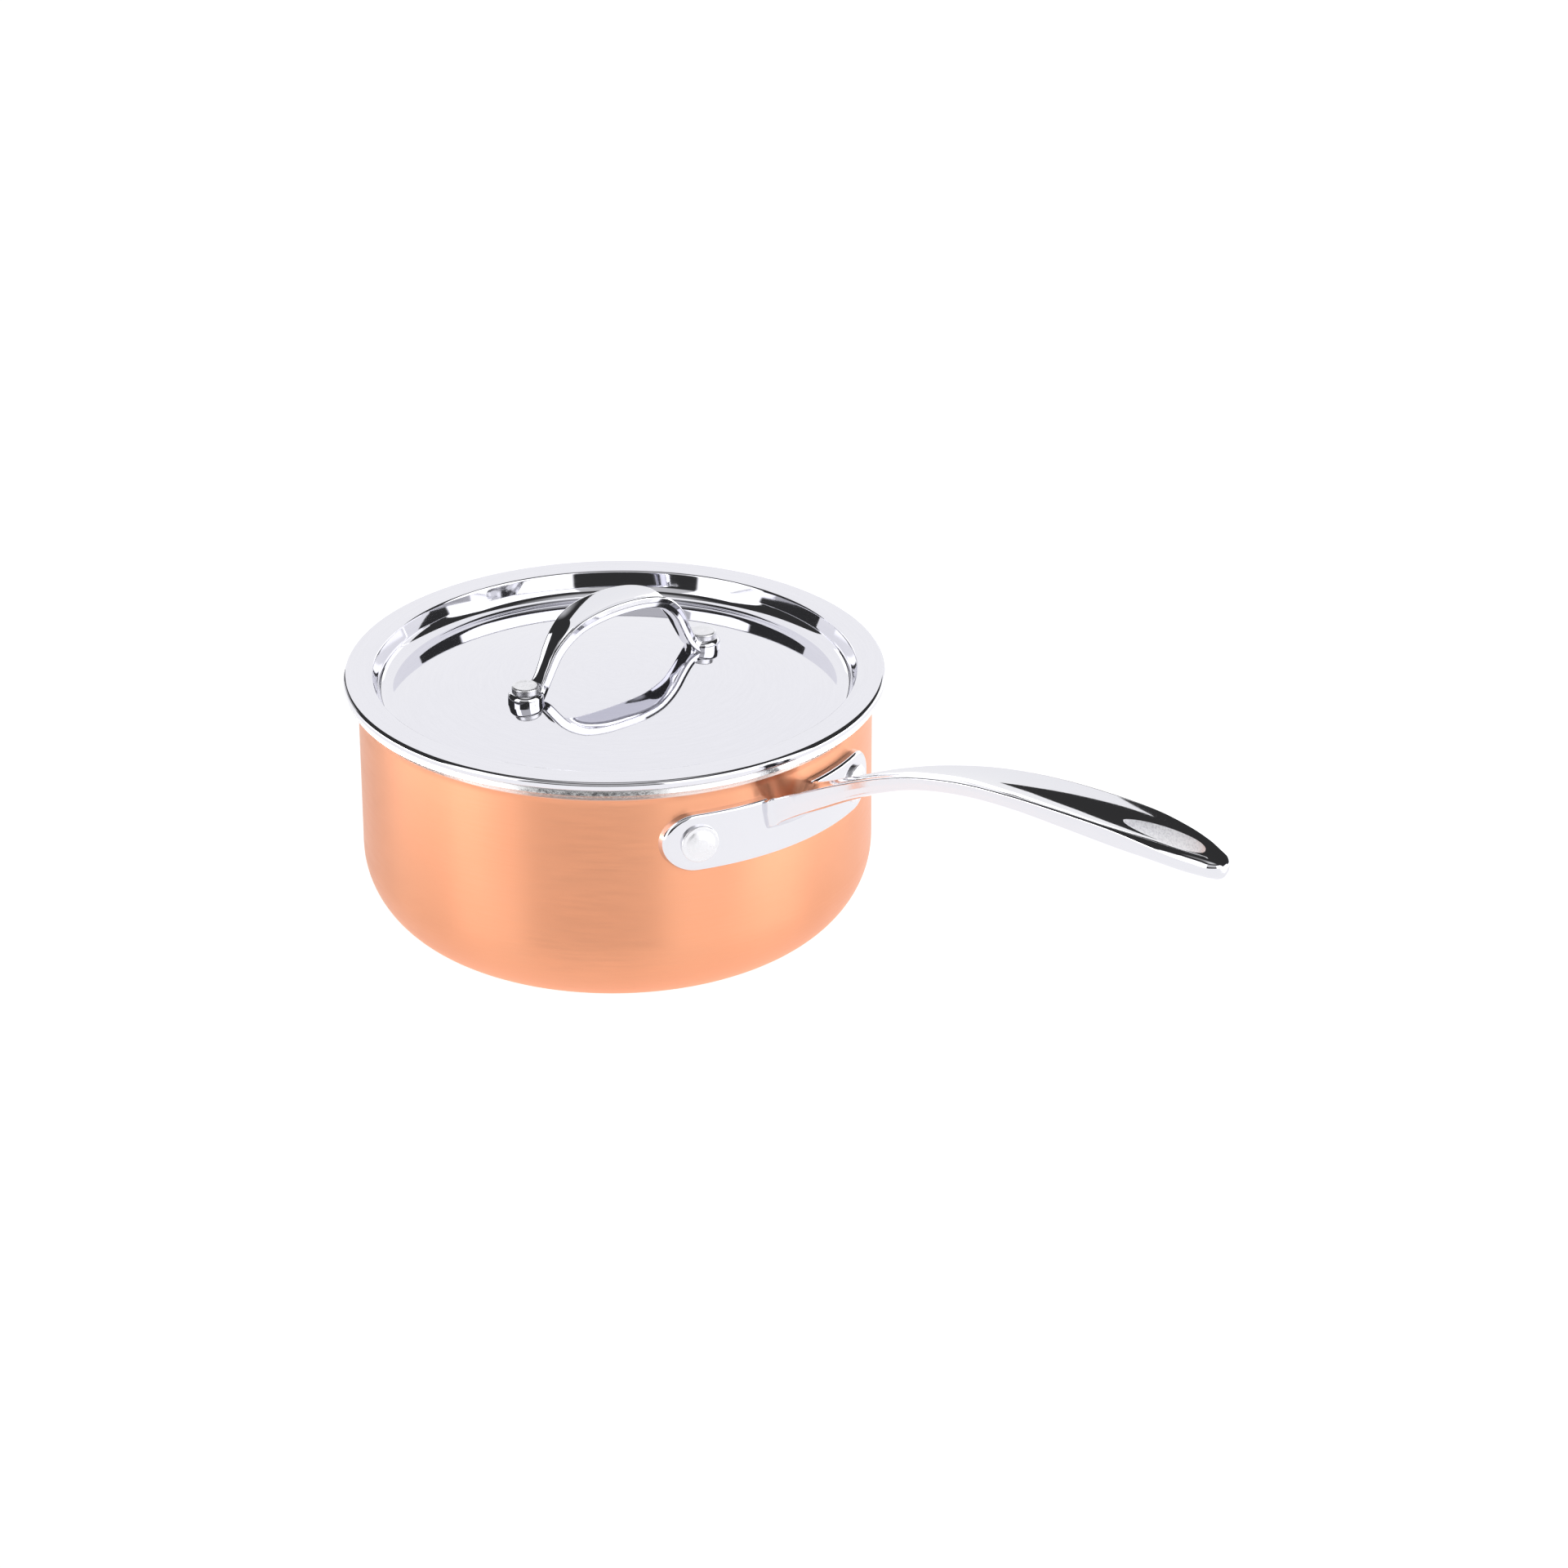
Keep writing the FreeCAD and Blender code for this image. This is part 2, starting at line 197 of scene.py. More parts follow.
# Azimuth in degrees to the right of the camera, height in degrees: from, to, from, to, fade, brightness
PANELS = [
    (20, 85, -8, 48, 2, 1.6),           # large, to the camera's right
    (-73, -41, -8, 48, 2, 1.6),         # large, to its left
    (123, 150, -8, 14, 2, 0.45),        # low strips behind the pan
    (-150, -132, -8, 14, 2, 0.45),
    (-41, 20, 24, 48, 10, 0.6),         # above the camera
    (-180, 180, 86, 90, 24, 0.7),       # overhead
]
GAP_BRIGHTNESS = 0.035
BACKDROP = rgb(1.0, 1.0, 1.0)
CARDS = [                   # left, right, low and high edge in mm, as the camera sees them
    (-160, 126, 50, 372),
    (120, 700, 50, 170),
]
CARD_DISTANCE = 150         # mm behind the pan's axis
CARD_BRIGHTNESS = 0.98
FLOOR_GLOW = 0.93
PAINTED_END_GLOW = 4.6              # painted glow: emission added at the table's two far ends, standing in for side lamps
END_SPAN = (68.0, 96.0, 26.0)   # degrees to either side of the camera: from, to, fade
END_REACH = (0.45, 0.7)     # metres from the pan's axis: none of it, all of it


def add_studio():
    """A tent of white panels with dark gaps, seen only in the metal, round a plain pale backdrop."""
    world = bpy.data.worlds.new("studio")
    bpy.context.scene.world = world
    graph = Graph(world)
    graph.tree.nodes.clear()
    direction = graph.add("ShaderNodeTexCoord").outputs["Generated"]
    x, y, z = graph.parts(graph.turned(direction))
    azimuth = graph.azimuth(x, y)
    height = graph.math("DEGREES", graph.math("ARCSINE", z))
    light = GAP_BRIGHTNESS
    for left, right, low, high, fade, brightness in PANELS:
        mask = graph.math("MULTIPLY", graph.window(azimuth, left, right, fade),
                          graph.window(height, low, high, fade))
        light = graph.math("MAXIMUM", light, graph.math("MULTIPLY", mask, brightness))
    panels = graph.add("ShaderNodeBackground", {"Color": rgb(1.0, 1.0, 1.0), "Strength": light})
    backdrop = graph.add("ShaderNodeBackground", {"Color": BACKDROP})
    seen = graph.add("ShaderNodeLightPath").outputs["Is Camera Ray"]
    mixed = graph.add("ShaderNodeMixShader", {0: seen, 1: panels.outputs[0], 2: backdrop.outputs[0]})
    graph.add("ShaderNodeOutputWorld", {"Surface": mixed.outputs[0]})


def add_cards():
    """Lit cards that stand close behind the pan and fill the lid's reflection."""
    for left, right, low, high in CARDS:
        data = bpy.data.lights.new("far_card", "AREA")
        data.shape = "RECTANGLE"
        data.size = (right - left) * MM
        data.size_y = (high - low) * MM
        data.energy = CARD_BRIGHTNESS * math.pi * data.size * data.size_y
        card = bpy.data.objects.new("far_card", data)
        middle = Vector(((left + right) / 2, CARD_DISTANCE, (low + high) / 2)) * MM
        facing = Matrix.Rotation(math.radians(-90), 4, "X")
        card.matrix_world = turn_matrix(CAMERA_TURN, "Z").to_4x4() @ Matrix.Translation(middle) @ facing
        card.visible_camera = False
        bpy.context.collection.objects.link(card)


# ---------------------------------------------------------------- materials

COPPER = rgb(0.935, 0.43, 0.25)
COPPER_DEEP = rgb(0.925, 0.405, 0.23)
COPPER_PALE = rgb(0.95, 0.475, 0.295)
COPPER_WORN = rgb(0.86, 0.84, 0.83)
WORN_FROM = 87.2 * MM               # the copper thins out between these heights
WORN_THROUGH = 88.4 * MM
STEEL = rgb(0.79, 0.79, 0.835)
RAW_FROM = 255.0 * MM               # the hanging slot's wall is left as cast between these reaches
RAW_TO = 294.5 * MM
RAW_HALF = 5.2 * MM


def new_material(name, metallic=1.0):
    """A material whose colour and roughness are still to be set, with its graph and shader."""
    material = bpy.data.materials.new(name)
    graph = Graph(material)
    shader = graph.tree.nodes["Principled BSDF"]
    shader.inputs["Metallic"].default_value = metallic
    return material, graph, shader


def around_axis(graph, along, across):
    """Coordinates that run round the Z axis, stretched: along the turn and across it."""
    x, y, z = graph.parts(graph.place())
    turn = graph.math("MULTIPLY", graph.math("ARCTAN2", y, x), along)
    reach = graph.math("MULTIPLY", graph.reach(x, y), across)
    return graph.join(turn, reach, graph.math("MULTIPLY", z, across))


def brushed_copper():
    """Warm copper with fine brushing round the pan, worn back to silver at the lip."""
    material, graph, shader = new_material("brushed_copper")
    fine = graph.noise(around_axis(graph, 6.0, 1500.0), 1.0, 3.0, 0.6)
    cloud = graph.noise(graph.place(), 14.0, 3.0, 0.55)
    warm = graph.blend(graph.ramp(cloud, 0.3, 0.75), COPPER, COPPER_DEEP)
    streaked = graph.blend(graph.ramp(fine, 0.3, 0.75, 0.0, 0.25), warm, COPPER_PALE)
    height = graph.parts(graph.place())[2]
    ragged = graph.math("ADD", height, graph.math("MULTIPLY", fine, 0.6 * MM))
    worn = graph.ramp(ragged, WORN_FROM, WORN_THROUGH)
    graph.feed(shader.inputs["Base Color"], graph.blend(worn, streaked, COPPER_WORN))
    graph.feed(shader.inputs["Roughness"], graph.ramp(fine, 0.25, 0.75, 0.34, 0.42))
    brush_direction(graph, shader, 0.9)
    return material


def brush_direction(graph, shader, amount):
    """Stretch reflections across a brushing that runs round the Z axis."""
    tangent = graph.add("ShaderNodeTangent", direction_type="RADIAL", axis="Z")
    shader.inputs["Anisotropic"].default_value = amount
    shader.inputs["Anisotropic Rotation"].default_value = 0.25
    graph.feed(shader.inputs["Tangent"], tangent.outputs[0])


def lid_steel():
    """Mirror-polished sheet with very faint turning marks."""
    material, graph, shader = new_material("lid_mirror_steel")
    marks = graph.noise(around_axis(graph, 5.0, 900.0), 1.0, 3.0, 0.6)
    tint = graph.blend(graph.ramp(marks, 0.3, 0.7), rgb(0.795, 0.793, 0.845), rgb(0.81, 0.808, 0.86))
    graph.feed(shader.inputs["Base Color"], tint)
    graph.feed(shader.inputs["Roughness"], graph.ramp(marks, 0.3, 0.75, 0.035, 0.05))
    return material


def cast_steel():
    """Hand-polished casting: a mirror with slight waviness, and raw casting inside the hanging slot."""
    material, graph, shader = new_material("polished_cast_steel")
    place = graph.place()
    waves = graph.noise(place, 90.0, 2.0)
    buffing = graph.noise(place, 900.0, 4.0, 0.6)
    raw = graph.noise(place, 1400.0, 4.0, 0.65)
    x, y, z = graph.parts(place)
    slot = graph.window(x, RAW_FROM, RAW_TO, 0.4 * MM)
    inside = graph.ramp(graph.math("ABSOLUTE", y), RAW_HALF, RAW_HALF + 0.4 * MM, 1.0, 0.0)
    normal = graph.add("ShaderNodeNewGeometry").outputs["Normal"]
    upright = graph.ramp(graph.math("ABSOLUTE", graph.parts(normal)[2]), 0.35, 0.6, 1.0, 0.0)
    cast = graph.math("MULTIPLY", graph.math("MULTIPLY", slot, inside), upright)
    grey = graph.blend(graph.ramp(raw, 0.3, 0.6), rgb(0.66, 0.66, 0.69), rgb(0.86, 0.86, 0.88))
    graph.feed(shader.inputs["Base Color"], graph.blend(cast, STEEL, grey))
    polish = graph.ramp(buffing, 0.3, 0.75, 0.035, 0.07)
    rough = graph.math("ADD", polish, graph.math("MULTIPLY", cast, 0.38))
    graph.feed(shader.inputs["Roughness"], rough)
    relief = graph.math("ADD", graph.math("MULTIPLY", waves, 0.012), graph.math("MULTIPLY", raw, cast))
    graph.feed(shader.inputs["Normal"], graph.bump(relief, 0.3 * MM, 0.5))
    return material


def satin_rivet_steel():
    """Rivet heads: pressed and tumbled, not polished."""
    material, graph, shader = new_material("satin_rivet_steel")
    shader.inputs["Base Color"].default_value = rgb(0.84, 0.84, 0.87)
    grain = graph.noise(graph.place(), 700.0, 3.0, 0.55)
    graph.feed(shader.inputs["Roughness"], graph.ramp(grain, 0.3, 0.7, 0.26, 0.40))
    graph.feed(shader.inputs["Normal"], graph.bump(grain, 0.03 * MM, 0.4))
    return material


def bare_core():
    """The core where the lip is cut and buffed: silver with a mottled, matt grain."""
    material, graph, shader = new_material("bare_aluminium")
    grain = graph.noise(around_axis(graph, 60.0, 900.0), 1.0, 4.0, 0.65)
    tint = graph.blend(graph.ramp(grain, 0.35, 0.65), rgb(0.86, 0.86, 0.88), rgb(0.95, 0.95, 0.96))
    graph.feed(shader.inputs["Base Color"], tint)
    graph.feed(shader.inputs["Roughness"], graph.ramp(grain, 0.3, 0.7, 0.16, 0.34))
    graph.feed(shader.inputs["Normal"], graph.bump(grain, 0.02 * MM, 0.3))
    return material


def brushed_liner():
    """Stainless inside the pan: satin, brushed round and round."""
    material, graph, shader = new_material("brushed_liner")
    marks = graph.noise(around_axis(graph, 4.0, 1100.0), 1.0, 4.0, 0.65)
    tint = graph.blend(graph.ramp(marks, 0.3, 0.7), rgb(0.72, 0.72, 0.74), rgb(0.82, 0.82, 0.83))
    graph.feed(shader.inputs["Base Color"], tint)
    graph.feed(shader.inputs["Roughness"], graph.ramp(marks, 0.3, 0.7, 0.20, 0.32))
    graph.feed(shader.inputs["Normal"], graph.bump(marks, 0.03 * MM, 0.4))
    brush_direction(graph, shader, 0.6)
    return material


def pale_floor():
    """White table that glows evenly, with painted glow at its far ends to the left and right of the pan:
    extra emission that stands in for side lamps.
    """
    material, graph, shader = new_material("pale_floor", metallic=0.0)
    shader.inputs["Roughness"].default_value = 0.7
    shader.inputs["Specular IOR Level"].default_value = 0.1
    turned = graph.turned(graph.place())
    x, y, z = graph.parts(turned)
    shade = graph.noise(turned, 3.0, 2.0)
    graph.feed(shader.inputs["Base Color"], graph.blend(shade, rgb(0.28, 0.28, 0.28), rgb(0.3, 0.3, 0.3)))
    # Painted glow: the table's far left and right ends get extra emission, which lights the pan like side
    # lamps.
    sideways = graph.window(graph.azimuth(graph.math("ABSOLUTE", x), y), *END_SPAN)
    ends = graph.math("MULTIPLY", sideways, graph.ramp(graph.reach(x, y), *END_REACH))
    glow = graph.math("ADD", FLOOR_GLOW, graph.math("MULTIPLY", ends, PAINTED_END_GLOW))
    shader.inputs["Emission Color"].default_value = rgb(1.0, 1.0, 1.0)
    graph.feed(shader.inputs["Emission Strength"], glow)
    return material


# ---------------------------------------------------------------- meshes

SPIN = 256              # steps round a turned piece
SMALL_SPIN = 96         # the same for a rivet or a lug
CORNER_STEPS = 12       # steps round a profile's corner
SHARP = 38.0            # degrees; a crease sharper than this isn't smoothed over


def arc_points(centre, radius, start, end, steps):
    """Points of a profile's arc. Degrees: 0 points away from the axis, 90 up."""
    points = []
    for step in range(steps + 1):
        angle = math.radians(start + (end - start) * step / steps)
        points.append((centre[0] + radius * math.cos(angle), centre[1] + radius * math.sin(angle)))
    return points


def rounded(corners):
    """Profile through corners of (radius, height) or (radius, height, rounding), each one rounded."""
    points = []
    last = len(corners) - 1
    for index, corner in enumerate(corners):
        if len(corner) == 2 or index in (0, last):
            points.append(tuple(corner[:2]))
            continue
        middle = Vector(corner[:2])
        back = (Vector(corners[index - 1][:2]) - middle).normalized()
        onward = (Vector(corners[index + 1][:2]) - middle).normalized()
        half = back.angle(onward) / 2
        size = corner[2]
        centre = middle + (back + onward).normalized() * size / math.sin(half)
        start = middle + back * size / math.tan(half) - centre
        sweep = start.angle_signed(middle + onward * size / math.tan(half) - centre)
        for step in range(CORNER_STEPS + 1):
            spoke = Matrix.Rotation(-sweep * step / CORNER_STEPS, 2) @ start
            points.append(tuple(centre + spoke))
    return points


def held(points, gap=0.25):
    """The same profile with extra points near the ends of its long stretches, so that shading stays true."""
    result = []
    for first, second in zip(points, points[1:]):
        result.append(first)
        run = Vector(second) - Vector(first)
        if run.length > 4 * gap:
            step = run.normalized() * gap
            result.append(tuple(Vector(first) + step))
            result.append(tuple(Vector(second) - step))
    result.append(points[-1])
    return result


def finish_mesh(name, mesh, material, sharp=SHARP):
    mesh.shade_smooth()
    mesh.set_sharp_from_angle(angle=math.radians(sharp))
    mesh.materials.append(material)
    piece = bpy.data.objects.new(name, mesh)
    bpy.context.collection.objects.link(piece)
    return piece


def spin(name, profile, material, steps=SPIN):
    """Turned piece about +Z from a closed profile in millimetres; points at radius 0 become poles."""
    shape = bmesh.new()
    rings = []
    for radius, height in profile:
        if radius < 1e-6:
            rings.append([shape.verts.new((0, 0, height * MM))])
            continue
        ring = []
        for step in range(steps):
            angle = 2 * math.pi * step / steps
            ring.append(shape.verts.new((radius * math.cos(angle) * MM, radius * math.sin(angle) * MM,
                                         height * MM)))
        rings.append(ring)
    for ring, other in zip(rings, rings[1:] + rings[:1]):
        if len(ring) == 1 and len(other) == 1:
            continue
        for step in range(steps):
            after = (step + 1) % steps
            if len(ring) == 1:
                shape.faces.new((ring[0], other[after], other[step]))
            elif len(other) == 1:
                shape.faces.new((ring[step], ring[after], other[0]))
            else:
                shape.faces.new((ring[step], ring[after], other[after], other[step]))
    bmesh.ops.recalc_face_normals(shape, faces=shape.faces)
    mesh = bpy.data.meshes.new(name)
    shape.to_mesh(mesh)
    shape.free()
    return finish_mesh(name, mesh, material)


def stand_for(piece, node):
    """The piece takes a CAD node's place, on the same body, and the node is hidden."""
    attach(piece, frame["nodes"][node]["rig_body"])
    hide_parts(node)


# ---------------------------------------------------------------- pan

WALL_RADIUS = 92.2
CORNER_RADIUS = 30.5
FLARE_START = 84.55
FLARE_RADIUS = 5.9
FLARE_ANGLE = 75.0
COPPER_END_ANGLE = 30.0
COPPER_GAUGE = 0.5
CORE_GAUGE = 1.3
LINER_GAUGE = 0.4


def wall_line(depth, end_angle):
    """The pan's profile at a depth under its outside, from the axis to the lip."""
    corner = arc_points((WALL_RADIUS - CORNER_RADIUS, CORNER_RADIUS), CORNER_RADIUS - depth, -90, 0, 24)
    flare = arc_points((WALL_RADIUS + FLARE_RADIUS, FLARE_START), FLARE_RADIUS + depth,
                       180, 180 - end_angle, 16)
    return held([(0.0, depth)] + corner) + held([corner[-1]] + flare)[1:]


def pan_layer(name, node, depth, gauge, end_angle, material):
    outside = wall_line(depth, end_angle)
    inside = wall_line(depth + gauge, end_angle)
    piece = spin(name, outside + inside[::-1], material)
    stand_for(piece, node)


def add_pan():
    pan_layer("pan_copper_skin", "copper_skin", 0.0, COPPER_GAUGE, COPPER_END_ANGLE,
              brushed_copper())
    pan_layer("pan_aluminium_core", "aluminium_core", COPPER_GAUGE, CORE_GAUGE, FLARE_ANGLE,
              bare_core())
    pan_layer("pan_steel_liner", "steel_liner", COPPER_GAUGE + CORE_GAUGE, LINER_GAUGE, FLARE_ANGLE,
              brushed_liner())


# ---------------------------------------------------------------- lid

LID_TOP = 95.9
LID_GAUGE = 1.0
LID_RADIUS = 97.3
HEM_HEIGHT = 3.25
HEM_WIDTH = 2.5
BORDER_INNER = 86.9
FLOOR_RADIUS = 84.4
FLOOR_DROP = 9.95
FLOOR_RISE = 9.25
FLOOR_FILLET = 5.0
DOME_STEPS = 48

FLOOR_EDGE = LID_TOP - FLOOR_DROP
DOME_RADIUS = (FLOOR_RADIUS ** 2 + FLOOR_RISE ** 2) / (2 * FLOOR_RISE)
DOME_CENTRE = FLOOR_EDGE + FLOOR_RISE - DOME_RADIUS


def dome_point(radius, sphere):
    return (radius, DOME_CENTRE + math.sqrt(sphere ** 2 - radius ** 2))


def dome_line(reach, sphere):
    return [dome_point(reach * step / DOME_STEPS, sphere) for step in range(DOME_STEPS + 1)]


def add_lid():
    under_top = LID_TOP - LID_GAUGE
    hem_low = LID_TOP - HEM_HEIGHT
    hem_inner = LID_RADIUS - HEM_WIDTH
    under = DOME_RADIUS - LID_GAUGE
    dome = dome_line(FLOOR_RADIUS - FLOOR_FILLET, DOME_RADIUS)
    under_dome = dome_line(FLOOR_RADIUS - FLOOR_FILLET, under)
    outline = dome[:-1]
    outline += held(rounded([
        dome[-1],
        (FLOOR_RADIUS, FLOOR_EDGE, FLOOR_FILLET),
        (BORDER_INNER, LID_TOP, 1.1),
        (LID_RADIUS, LID_TOP, 1.45),
        (LID_RADIUS, hem_low, 1.2),
        (hem_inner, hem_low, 0.4),
        (hem_inner, under_top, 0.4),
        (BORDER_INNER + 0.7, under_top, 1.0),
        dome_point(FLOOR_RADIUS + 0.6, under) + (FLOOR_FILLET,),
        under_dome[-1],
    ]))
    outline += under_dome[-2::-1]
    piece = spin("lid_pressing", outline, lid_steel())
    stand_for(piece, "lid_disc")


# ---------------------------------------------------------------- rivets

RIVET_ANGLE = 22.3
PLATE_RADIUS = 95.2
PLATE_MIDDLE = 69.6
LID_TURN = -4.0
LID_RIVET_REACH = 39.0
LUG_RADIUS = 6.5
LUG_HEIGHT = 4.6
LUG_TOP = dome_point(LID_RIVET_REACH + LUG_RADIUS, DOME_RADIUS)[1] + LUG_HEIGHT


def turned_in_place(piece, matrix):
    piece.data.transform(matrix)
    piece.data.update()


def add_pan_rivet(name, node, side, material):
    """Head with a raised ring step and a low dome outside, a wide low dome inside, one shank."""
    outside = rounded([
        (0.0, 2.4), (2.4, 2.23), (4.4, 1.72, 0.6), (5.3, 1.40, 0.25), (6.8, 1.36, 0.5), (6.8, -1.2),
        (3.0, -1.2), (3.0, -5.2), (6.0, -5.2), (5.2, -6.0, 0.8), (3.2, -6.75), (0.0, -7.0),
    ])
    piece = spin(name, held(outside), material, SMALL_SPIN)
    upright = Matrix.Rotation(math.radians(90), 4, "Y")
    out = Matrix.Translation(Vector((PLATE_RADIUS, 0, PLATE_MIDDLE)) * MM)
    round_pan = Matrix.Rotation(math.radians(side * RIVET_ANGLE), 4, "Z")
    turned_in_place(piece, round_pan @ out @ upright)
    stand_for(piece, node)


def add_lid_rivet(name, node, side, material):
    """Drum head with a soft edge and a slightly dished top, and a low head under the lid."""
    top = LUG_TOP + 2.4
    under = LUG_TOP - LUG_HEIGHT - 2.0 * LID_GAUGE
    outline = rounded([
        (0.0, top - 0.28), (2.9, top - 0.22, 1.5), (4.1, top, 0.45), (5.0, top - 0.12, 0.8), (5.0, LUG_TOP),
        (2.5, LUG_TOP), (2.5, under + 2.0), (4.2, under + 2.0), (4.2, under - 1.2, 0.7), (0.0, under - 1.2),
    ])
    piece = spin(name, held(outline), material, SMALL_SPIN)
    foot = Matrix.Translation(Vector((LID_RIVET_REACH, 0, 0)) * MM)
    round_lid = Matrix.Rotation(math.radians(90 * side + LID_TURN), 4, "Z")
    turned_in_place(piece, round_lid @ foot)
    stand_for(piece, node)


def add_rivets():
    material = satin_rivet_steel()
    add_pan_rivet("pan_rivet_left", "handle_rivet_left", -1, material)
    add_pan_rivet("pan_rivet_right", "handle_rivet_right", 1, material)
    add_lid_rivet("lid_rivet_near_head", "lid_rivet_near", -1, material)
    add_lid_rivet("lid_rivet_far_head", "lid_rivet_far", 1, material)


# ---------------------------------------------------------------- cast handles

def led_through(rows, travel, span, share):
    """Numbers at a share of the way between two rows, on a smooth run through all of them."""
    def slope(index, column):
        low = max(index - 1, 0)
        high = min(index + 1, len(rows) - 1)
        return (rows[high][column] - rows[low][column]) / (travel[high] - travel[low])

    length = travel[span + 1] - travel[span]
    back = 1.0 - share
    return tuple(
        (1 + 2 * share) * back ** 2 * first + share * back ** 2 * length * slope(span, column)
        + share ** 2 * (1 + 2 * back) * second - share ** 2 * back * length * slope(span + 1, column)
        for column, (first, second) in enumerate(zip(rows[span], rows[span + 1])))


def smooth_rows(rows, steps, passes):
    """Many rows led smoothly through a few, evenly spaced along the run of their first three numbers."""
    travel = [0.0]
    for first, second in zip(rows, rows[1:]):
        travel.append(travel[-1] + math.dist(first[:3], second[:3]))
    result = []
    span = 0
    for step in range(steps + 1):
        at = travel[-1] * step / steps
        while span < len(rows) - 2 and at > travel[span + 1]:
            span += 1
        share = (at - travel[span]) / (travel[span + 1] - travel[span])
        result.append(led_through(rows, travel, span, share))
    for _ in range(passes):
        inner = [tuple((a + 2 * b + c) / 4 for a, b, c in zip(*three))
                 for three in zip(result, result[1:], result[2:])]
        result = [result[0]] + inner + [result[-1]]
    return result


FACE_STEPS = 12         # points from the middle of a strap's sunk face to its edge
EDGE_STEPS = 10         # steps round each edge
SOLE_STEPS = 8          # points from an edge to the middle of the underside


def strap_ring(half, top, bottom, hollow, belly, top_edge, low_edge, taper, ridge):
    """A strap's section as (sideways, height): sunk top, rounded edges, ridged sides, curved underside."""
    low_half = half - taper
    lean = math.degrees(math.atan(2 * hollow / half))
    low_lean = math.degrees(math.atan(2 * belly / low_half))
    shoulder = arc_points((half - top_edge, top - top_edge), top_edge, 90 + lean, 0, EDGE_STEPS)
    heel = arc_points((low_half - low_edge, bottom + low_edge), low_edge, 0, -90 - low_lean, EDGE_STEPS)
    middle = top - hollow
    side = [middle_point(shoulder[0], middle, step / FACE_STEPS) for step in range(FACE_STEPS)]
    side += [(shoulder[0][0] * 0.985, middle + (shoulder[0][1] - middle) * 0.97)]
    waist = (half - taper / 2 + ridge, (shoulder[-1][1] + heel[0][1]) / 2)
    side += shoulder + between(shoulder[-1], waist) + [waist] + between(waist, heel[0]) + heel
    sole = bottom + belly
    side += [middle_point(heel[-1], sole, step / SOLE_STEPS) for step in range(SOLE_STEPS - 1, -1, -1)]
    return side + [(-sideways, height) for sideways, height in side[-2:0:-1]]


def between(start, end):
    """Extra points on a straight stretch, close to its ends, so that its shading stays flat."""
    return [tuple(Vector(start).lerp(Vector(end), share)) for share in (0.08, 0.4, 0.7, 0.92)]


def middle_point(edge, middle, share):
    """Point of the shallow curve from the middle of a strap's face to its edge."""
    return (edge[0] * share, middle + (edge[1] - middle) * share ** 2)


def skin(name, rings):
    """Closed skin through rings of points in millimetres, flat at both ends."""
    shape = bmesh.new()
    rows = [[shape.verts.new(Vector(point) * MM) for point in ring] for ring in rings]
    for row, other in zip(rows, rows[1:]):
        for step in range(len(row)):
            after = (step + 1) % len(row)
            shape.faces.new((row[step], row[after], other[after], other[step]))
    shape.faces.new(rows[0])
    shape.faces.new(rows[-1])
    bmesh.ops.remove_doubles(shape, verts=shape.verts, dist=1e-7)
    bmesh.ops.recalc_face_normals(shape, faces=shape.faces)
    mesh = bpy.data.meshes.new(name)
    shape.to_mesh(mesh)
    shape.free()
    return mesh


def shaped(mesh, tools):
    """The mesh after each (operation, tool mesh) has been joined to it or cut from it."""
    body = bpy.data.objects.new("blank", mesh)
    bpy.context.collection.objects.link(body)
    helpers = []
    for operation, tool_mesh in tools:
        tool = bpy.data.objects.new("tool", tool_mesh)
        bpy.context.collection.objects.link(tool)
        helpers.append(tool)
        modifier = body.modifiers.new("shape", "BOOLEAN")
        modifier.operation = operation
        modifier.solver = "EXACT"
        modifier.object = tool
    graph = bpy.context.evaluated_depsgraph_get()
    result = bpy.data.meshes.new_from_object(body.evaluated_get(graph))
    for helper in [body] + helpers:
        old = helper.data
        bpy.data.objects.remove(helper)
        bpy.data.meshes.remove(old)
    return result


PLATE_GAUGE = 3.0
PLATE_HALF = 10.9
PLATE_REACH = 47.3
PLATE_EDGE = 1.2
PLATE_STEPS = 28            # steps along each straight side and round each end
STEM_STATIONS = [           # reach, top, width, depth of the side, hollow of the top, edge rounding
    (93.6, 79.9, 24.6, 11.6, 8.4, 1.1),
    (96.6, 81.4, 24.2, 10.9, 7.8, 1.0),
    (97.7, 81.9, 20.8, 10.4, 7.2, 0.8),
    (99.6, 82.8, 18.9, 9.9, 6.3, 0.7),
    (104.0, 84.9, 16.4, 9.2, 4.6, 0.6),
    (114.0, 89.9, 13.9, 8.1, 2.4, 0.6),
    (128.0, 97.0, 12.4, 6.9, 1.3, 0.6),
    (145.0, 105.1, 13.2, 6.1, 1.1, 0.6),
    (165.0, 113.0, 15.2, 5.3, 1.2, 0.6),
    (190.0, 120.4, 18.6, 5.3, 1.4, 0.6),
    (215.0, 125.2, 21.4, 5.6, 1.5, 0.6),
    (240.0, 128.4, 22.4, 6.6, 1.5, 0.7),
    (262.0, 130.3, 21.8, 7.2, 1.5, 0.8),
    (278.0, 130.9, 19.8, 7.1, 1.3, 1.7),
    (289.0, 130.8, 16.6, 7.1, 0.9, 2.3),
    (296.5, 130.5, 12.4, 6.9, 0.55, 2.6),
    (299.5, 130.1, 10.5, 6.3, 0.3, 2.4),
    (301.4, 129.5, 7.3, 5.0, 0.15, 1.7),
    (302.3, 128.8, 4.4, 3.4, 0.05, 1.1),
    (302.6, 128.0, 2.0, 1.8, 0.05, 0.5),
]
STEM_BELLY = -0.9           # the underside bulges by this much
STEM_TAPER = 1.0            # the sides lean in by this much, less where they are low
STEM_RIDGE = 0.25           # the sides are this full at mid height
